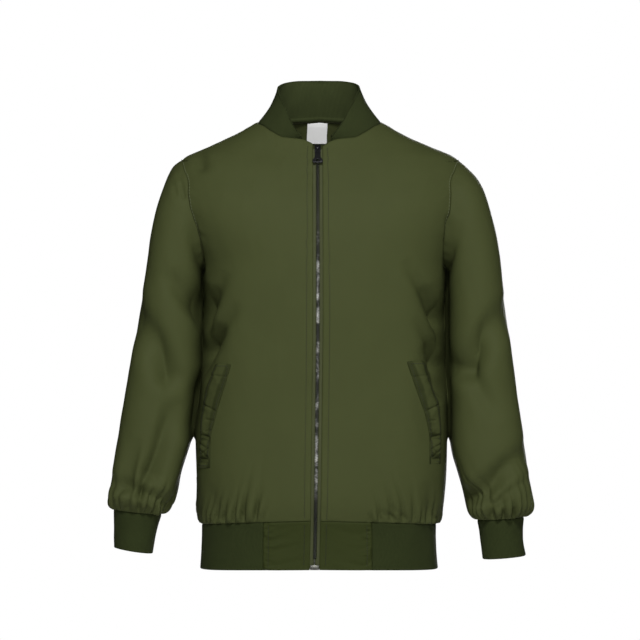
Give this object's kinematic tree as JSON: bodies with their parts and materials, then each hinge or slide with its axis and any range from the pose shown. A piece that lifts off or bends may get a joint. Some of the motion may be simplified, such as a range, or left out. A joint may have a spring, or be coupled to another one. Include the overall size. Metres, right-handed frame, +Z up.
{
  "type": "bomber jacket",
  "caption": "Filled-out hip-length bomber jacket with a front zip and swinging pull, rib collar, cuffs and hem band, woven hem tabs and slanted welt pockets.",
  "frame": {"origin": "middle of the neck opening, level with the two points where shoulder seam and collar meet", "axes": "+X the wearer's left, +Y the wearer's back, +Z up; the front faces -Y"},
  "size_m": [0.6667, 0.2647, 0.783],
  "materials": {
    "nylon": "plain-woven nylon with a soft sheen, olive green",
    "rib_knit": "matte rib knit, dark olive",
    "tape": "woven polyester tape, dark olive",
    "label": "bare white satin label",
    "gunmetal": "dark metal zip teeth with worn bright edges",
    "black_metal": "black enamelled slider and pull",
    "nickel": "bright nickel box and pin at the zip's lower end"
  },
  "bodies": {
    "jacket": {"front_right": "nylon", "front_left": "nylon", "back": "nylon", "sleeve_right": "nylon", "sleeve_left": "nylon", "pocket_welt_right": "nylon", "pocket_welt_left": "nylon", "hem_tab_right": "nylon", "hem_tab_left": "nylon", "collar": "rib_knit", "cuff_right": "rib_knit", "cuff_left": "rib_knit", "hem_rib": "rib_knit", "neck_tape": "tape", "neck_label": "label", "zip_tape_right": "tape", "zip_tape_left": "tape", "zip_chain": "gunmetal", "zip_box": "nickel", "zip_pin": "nickel", "zip_slider": "black_metal"},
    "pull_tab": {"zip_pull": "black_metal"}
  },
  "joints": [
    {"name": "pull_tab_hinge", "type": "hinge", "parent": "jacket", "child": "pull_tab", "pos_m": [-0.00289, -0.07281, -0.04537], "axis": [-1, 0, 0], "range_deg": [0, 160]}
  ]
}
